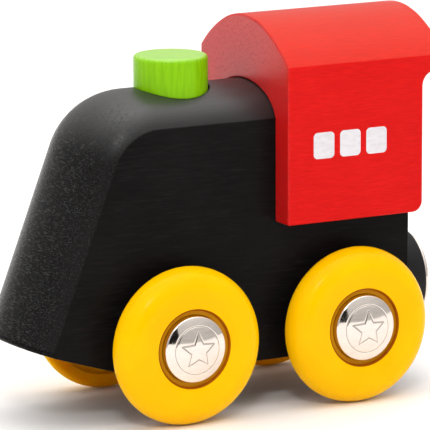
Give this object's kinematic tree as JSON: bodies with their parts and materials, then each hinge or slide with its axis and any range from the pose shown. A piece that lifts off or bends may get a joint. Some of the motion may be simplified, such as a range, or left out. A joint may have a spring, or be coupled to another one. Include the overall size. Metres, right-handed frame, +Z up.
{
  "type": "toy train locomotive",
  "caption": "Small wooden toy locomotive: black body with a sloping nose, red arched cab, green funnel peg, free-turning yellow wheels with steel hub caps and a rear magnet coupler.",
  "frame": {"origin": "bottom centre of the bounding box: the surface under the wheels, midway between nose and coupler", "axes": "+X forward towards the nose, +Y to the left side, +Z up"},
  "size_m": [0.0636, 0.0318, 0.0528],
  "materials": {
    "black_wood": "black stained beech, satin, with faint grain",
    "red_wood": "red lacquered beech, semi-gloss, grain shows through",
    "green_wood": "lime green lacquered dowel, semi-gloss",
    "yellow_plastic": "glossy moulded, slightly translucent",
    "bright_steel": "polished nickel plate",
    "axle_steel": "drawn bright steel",
    "black_plastic": "fine satin moulding",
    "ferrite": "sintered ferrite, matt"
  },
  "bodies": {
    "chassis": {"body_block": "black_wood", "cab": "red_wood", "funnel_peg": "green_wood", "front_axle": "axle_steel", "rear_axle": "axle_steel", "coupler_screw": "axle_steel", "coupler_washer": "axle_steel", "hub_cap_front_left": "bright_steel", "cap_washer_front_left": "axle_steel", "hub_cap_front_right": "bright_steel", "cap_washer_front_right": "axle_steel", "hub_cap_rear_left": "bright_steel", "cap_washer_rear_left": "axle_steel", "hub_cap_rear_right": "bright_steel", "cap_washer_rear_right": "axle_steel"},
    "wheel_front_left": {"wheel_front_left": "yellow_plastic"},
    "wheel_front_right": {"wheel_front_right": "yellow_plastic"},
    "wheel_rear_left": {"wheel_rear_left": "yellow_plastic"},
    "wheel_rear_right": {"wheel_rear_right": "yellow_plastic"},
    "coupler": {"coupler_housing": "black_plastic", "coupler_magnet": "ferrite", "coupler_plate": "bright_steel"}
  },
  "joints": [
    {"name": "wheel_front_left_spin", "type": "hinge", "parent": "chassis", "child": "wheel_front_left", "pos_m": [0.00987, 0, 0.0108], "axis": [0, 1, 0], "continuous": true},
    {"name": "wheel_front_right_spin", "type": "hinge", "parent": "chassis", "child": "wheel_front_right", "pos_m": [0.00987, 0, 0.0108], "axis": [0, 1, 0], "continuous": true},
    {"name": "wheel_rear_left_spin", "type": "hinge", "parent": "chassis", "child": "wheel_rear_left", "pos_m": [-0.01633, 0, 0.0108], "axis": [0, 1, 0], "continuous": true},
    {"name": "wheel_rear_right_spin", "type": "hinge", "parent": "chassis", "child": "wheel_rear_right", "pos_m": [-0.01633, 0, 0.0108], "axis": [0, 1, 0], "continuous": true},
    {"name": "coupler_spin", "type": "hinge", "parent": "chassis", "child": "coupler", "pos_m": [-0.0275, 0, 0.01394], "axis": [1, 0, 0], "continuous": true}
  ]
}
